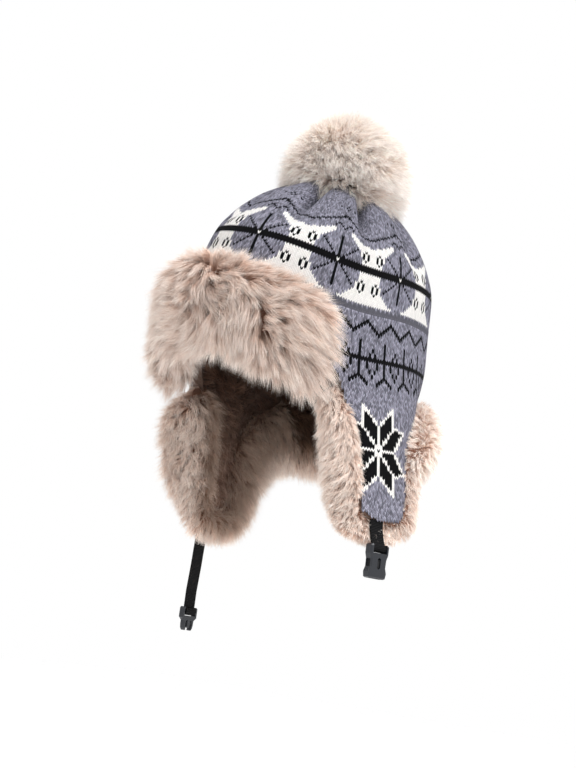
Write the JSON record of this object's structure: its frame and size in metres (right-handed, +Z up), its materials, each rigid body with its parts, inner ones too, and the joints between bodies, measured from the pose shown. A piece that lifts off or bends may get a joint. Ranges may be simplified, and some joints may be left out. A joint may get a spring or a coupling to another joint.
{
  "type": "knitted aviator hat",
  "caption": "Warm hat: gathered patterned knit crown with a fur ball, turned-up fur front, fur-lined knit ear flaps edged in fur, and a chin strap in two halves with a side-release buckle.",
  "frame": {"origin": "middle of the head opening, level with the brow rim of the knit", "axes": "+Z up through the crown, -Y the way the wearer faces, +X the wearer's left"},
  "size_m": [0.2324, 0.2746, 0.4521],
  "materials": {
    "knit": "melange grey jacquard knit with cream and black pattern",
    "fur": "long pale beige imitation fur with darker roots",
    "lining_fur": "shorter beige imitation fur",
    "webbing": "black woven webbing",
    "buckle": "satin dark moulded plastic"
  },
  "bodies": {
    "root": {"crown_knit": "knit", "band_knit": "knit", "fur_lining": "lining_fur", "front_fur": "fur", "trim_left": "fur", "trim_right": "fur", "trim_nape": "fur", "pompom": "fur", "strap_left": "webbing", "strap_right": "webbing", "buckle_female": "buckle", "buckle_male": "buckle"}
  },
  "joints": []
}
